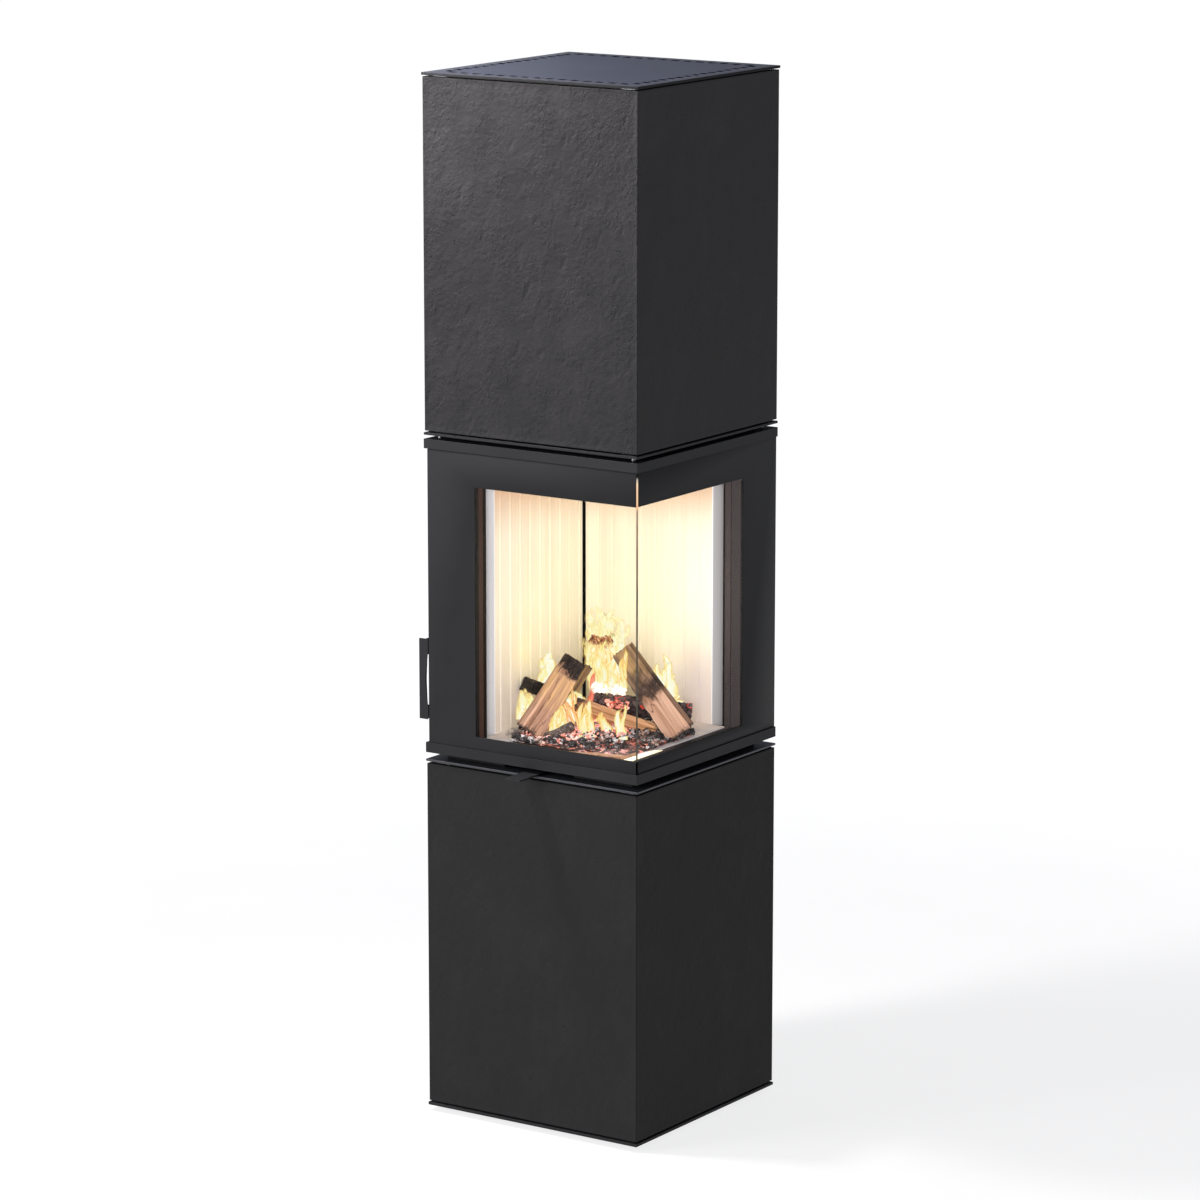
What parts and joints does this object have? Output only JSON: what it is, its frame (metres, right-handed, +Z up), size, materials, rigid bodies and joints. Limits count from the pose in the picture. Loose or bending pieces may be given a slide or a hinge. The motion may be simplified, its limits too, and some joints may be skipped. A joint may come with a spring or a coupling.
{
  "type": "wood stove",
  "caption": "Tall square wood stove with a firebox glazed round its front corner, an L-shaped hinged door, a turning handle, an air lever, and clad boxes above and below.",
  "frame": {"origin": "on the floor below the middle of the square plan", "axes": "+Z up, -Y out through the front pane, +X towards the glazed side, +Y to the wall behind"},
  "size_m": [0.463, 0.559, 1.8677],
  "materials": {
    "painted_steel": "satin",
    "top_plate_steel": "satin",
    "textured_cladding": "matte",
    "bare_steel": "satin",
    "galvanised_steel": "satin",
    "firebox_steel": "matte",
    "fireclay": "matte",
    "cast_iron": "matte",
    "glass": "polished",
    "rope": "matte",
    "split_wood": "matte",
    "charcoal": "matte"
  },
  "bodies": {
    "stove": {"base_plate": "painted_steel", "hearth_plate": "painted_steel", "crown_plate": "painted_steel", "upper_base_plate": "painted_steel", "lower_neck": "painted_steel", "upper_neck": "painted_steel", "casing_left": "painted_steel", "casing_back": "painted_steel", "lower_back_panel": "painted_steel", "upper_back_panel": "painted_steel", "flue_collar": "painted_steel", "air_inlet_spigot": "painted_steel", "lower_lid": "top_plate_steel", "top_plate": "top_plate_steel", "lower_cladding_front": "textured_cladding", "lower_cladding_left": "textured_cladding", "lower_cladding_right": "textured_cladding", "upper_cladding_front": "textured_cladding", "upper_cladding_left": "textured_cladding", "upper_cladding_right": "textured_cladding", "levelling_foot_front_left": "bare_steel", "levelling_foot_front_right": "bare_steel", "levelling_foot_rear_left": "bare_steel", "levelling_foot_rear_right": "bare_steel", "air_pivot_bolt": "bare_steel", "hinge_pin_bottom": "bare_steel", "hinge_pin_top": "bare_steel", "strike_plate": "bare_steel", "lower_post_front_left": "galvanised_steel", "lower_post_front_right": "galvanised_steel", "lower_post_rear_left": "galvanised_steel", "lower_post_rear_right": "galvanised_steel", "upper_post_front_left": "galvanised_steel", "upper_post_front_right": "galvanised_steel", "upper_post_rear_left": "galvanised_steel", "upper_post_rear_right": "galvanised_steel", "flue_pipe": "galvanised_steel", "firebox_frame": "firebox_steel", "firebox_shell": "firebox_steel", "fireclay_left": "fireclay", "fireclay_back": "fireclay", "fireclay_floor": "fireclay", "baffle_plate": "fireclay", "floor_grate": "cast_iron", "log_left": "split_wood", "log_right": "split_wood", "log_cross": "split_wood", "log_charred": "charcoal", "log_back": "charcoal", "ember_bed": "charcoal"},
    "door": {"door_frame": "painted_steel", "glass_front": "glass", "glass_side": "glass", "door_seal": "rope"},
    "handle": {"handle_plate": "painted_steel", "latch_shaft": "bare_steel", "latch_hook": "bare_steel"},
    "air_control": {"air_lever": "painted_steel", "air_shutter": "bare_steel"}
  },
  "joints": [
    {"name": "door_hinge", "type": "hinge", "parent": "stove", "child": "door", "pos_m": [0.208, 0.2145, 0.681], "axis": [0, 0, 1], "range_deg": [0, 100]},
    {"name": "handle_turn", "type": "hinge", "parent": "door", "child": "handle", "pos_m": [-0.2135, -0.214, 0.7945], "axis": [0, 0, 1], "range_deg": [0, 25]},
    {"name": "air_lever_swing", "type": "hinge", "parent": "stove", "child": "air_control", "pos_m": [0, 0, 0.652], "axis": [0, 0, 1], "range_deg": [-15, 15]}
  ]
}
